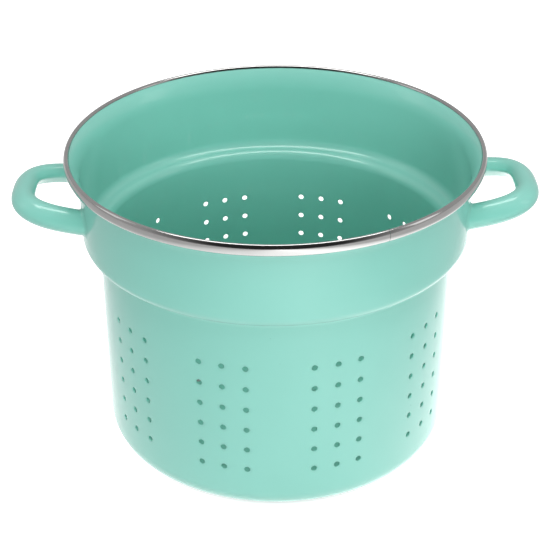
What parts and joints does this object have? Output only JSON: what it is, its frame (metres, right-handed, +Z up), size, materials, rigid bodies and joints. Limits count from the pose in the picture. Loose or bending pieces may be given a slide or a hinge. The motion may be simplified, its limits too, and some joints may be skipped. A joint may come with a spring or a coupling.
{
  "type": "canning pot strainer insert",
  "caption": "Enamelled steel strainer insert with a stepped collar, drain holes, a stainless rim band and two loop handles; it hangs in a canning pot.",
  "frame": {"origin": "on the vessel's axis, at the level of its flat base", "axes": "+Z up along the vessel's axis, +X towards the right handle, -Y to the front, midway between two blocks of holes"},
  "size_m": [0.3536, 0.2796, 0.2127],
  "materials": {
    "body_enamel": "glossy vitreous enamel on steel",
    "handle_enamel": "glossy vitreous enamel on steel",
    "rim_steel": "polished stainless steel"
  },
  "bodies": {
    "root": {"strainer_body": "body_enamel", "rim_band": "rim_steel", "handle_left": "handle_enamel", "handle_right": "handle_enamel"}
  },
  "joints": []
}
